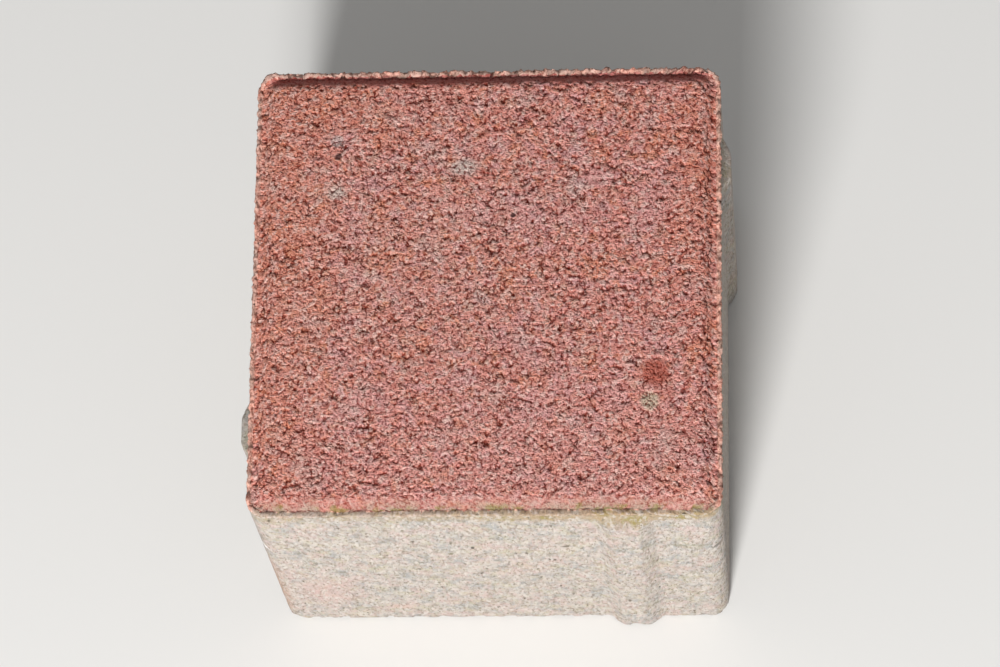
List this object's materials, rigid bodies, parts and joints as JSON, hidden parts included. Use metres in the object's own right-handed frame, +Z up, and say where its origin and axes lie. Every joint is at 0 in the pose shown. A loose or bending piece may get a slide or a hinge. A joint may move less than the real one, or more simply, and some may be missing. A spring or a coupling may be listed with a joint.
{
  "type": "concrete paving stone",
  "caption": "Square concrete paving stone with a bevelled walking face, rounded upright corners and a spacer nib on every side.",
  "frame": {"origin": "middle of the flat bed that the stone rests on", "axes": "+Z up through the walking face; X and Y square to the upright sides"},
  "size_m": [0.101, 0.101, 0.08],
  "materials": {
    "concrete": "rough, open-grained"
  },
  "bodies": {
    "root": {"paving_stone": "concrete"}
  },
  "joints": []
}
